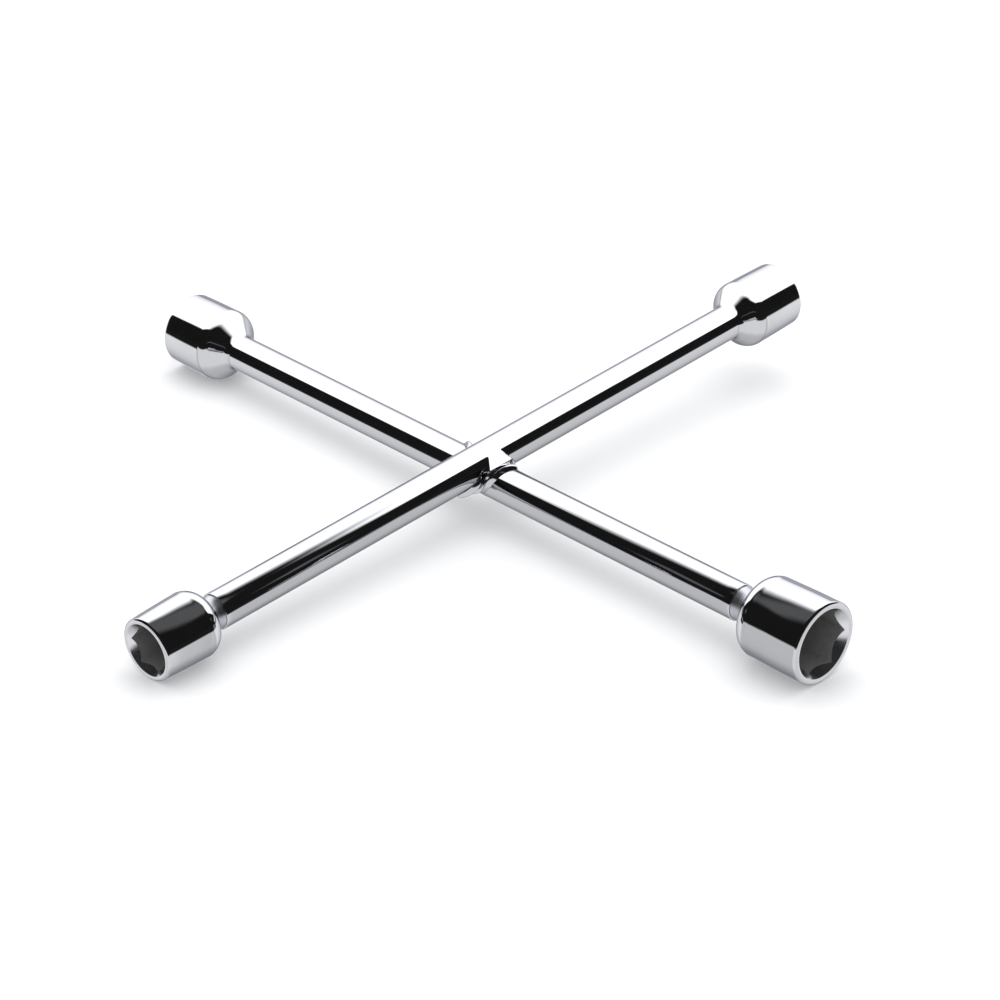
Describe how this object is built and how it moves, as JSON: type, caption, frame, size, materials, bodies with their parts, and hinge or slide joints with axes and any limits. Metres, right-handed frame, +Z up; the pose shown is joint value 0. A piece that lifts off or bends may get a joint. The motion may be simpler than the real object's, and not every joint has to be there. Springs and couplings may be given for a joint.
{
  "type": "four-way lug wrench",
  "caption": "Cross-shaped wheel nut wrench: round chromed bars welded across each other, with a forged hexagon socket of a different size on every end.",
  "frame": {"origin": "on the ground the tool lies on, straight below the middle of the crossing", "axes": "+Z up; +X along the lower bar towards the 23 mm socket, +Y over the upper bar towards the 19 mm socket. Lying on its 17, 21 and 23 mm sockets, the tool leans by 3.4 degrees about X and 0.2 degrees about Y, so the 19 mm socket is off the ground"},
  "size_m": [0.3557, 0.3565, 0.0476],
  "materials": {
    "bars": "polished",
    "sockets": "polished",
    "welds": "polished over rough weld metal"
  },
  "bodies": {
    "root": {"lower_bar": "bars", "upper_bar": "bars", "crossing_seam_bead": "welds", "socket_17mm": "sockets", "socket_weld_17mm": "welds", "socket_19mm": "sockets", "socket_weld_19mm": "welds", "socket_21mm": "sockets", "socket_weld_21mm": "welds", "socket_23mm": "sockets", "socket_weld_23mm": "welds", "flash_lip_17mm_side": "welds", "flash_lip_19mm_side": "welds", "flash_lip_21mm_side": "welds", "flash_lip_23mm_side": "welds"}
  },
  "joints": []
}
